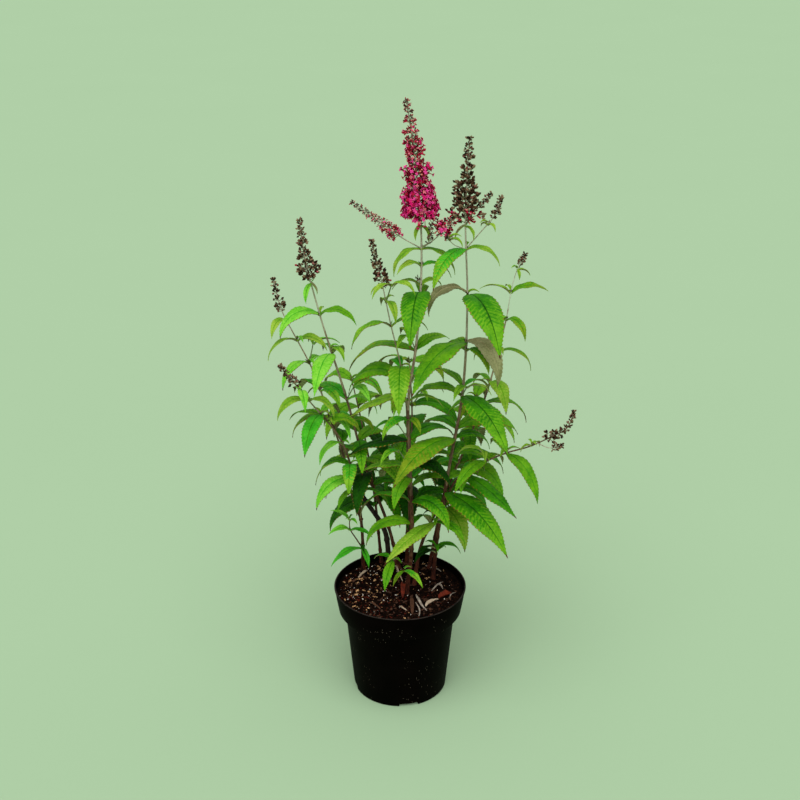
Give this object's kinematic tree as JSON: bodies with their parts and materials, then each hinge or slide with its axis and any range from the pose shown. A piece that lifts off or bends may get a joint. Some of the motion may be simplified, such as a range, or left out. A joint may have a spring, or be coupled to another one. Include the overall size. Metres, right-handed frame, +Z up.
{
  "type": "potted butterfly bush",
  "caption": "Young butterfly bush in a round black nursery pot: woody canes with long drooping leaves in pairs, one crimson flower spike in bloom and others gone to seed.",
  "frame": {"origin": "centre of the pot's flat underside", "axes": "+Z up the pot's axis towards the flower spikes, -Y towards the side seen in the picture, +X to its right"},
  "size_m": [0.322, 0.2514, 0.678],
  "materials": {
    "pot": "black moulded plastic, satin, lightly dusty",
    "soil": "dark moist potting compost with wood chips and white grains",
    "bark": "grey-brown to red-brown bark, finely grooved",
    "foliage": "matt green leaves, olive and felted below, with crimson and dark brown spikes"
  },
  "bodies": {
    "root": {"pot": "pot", "soil": "soil", "stem_back": "bark", "stem_middle": "bark", "stem_right": "bark", "stem_left": "bark", "stem_far_left": "bark", "stem_rear_left": "bark", "stem_rear": "bark", "stem_rear_right": "bark", "stem_old": "bark", "bough_centre_left": "bark", "bough_far_left": "bark", "bough_low_right": "bark", "crown_back": "foliage", "crown_middle": "foliage", "crown_right": "foliage", "crown_left": "foliage", "crown_low_left": "foliage", "crown_rear_left": "foliage", "crown_rear": "foliage", "crown_rear_right": "foliage", "crown_centre_left": "foliage", "crown_far_left": "foliage", "crown_low_right": "foliage", "shoot_left": "foliage", "shoot_front": "foliage", "shoot_right": "foliage"}
  },
  "joints": []
}
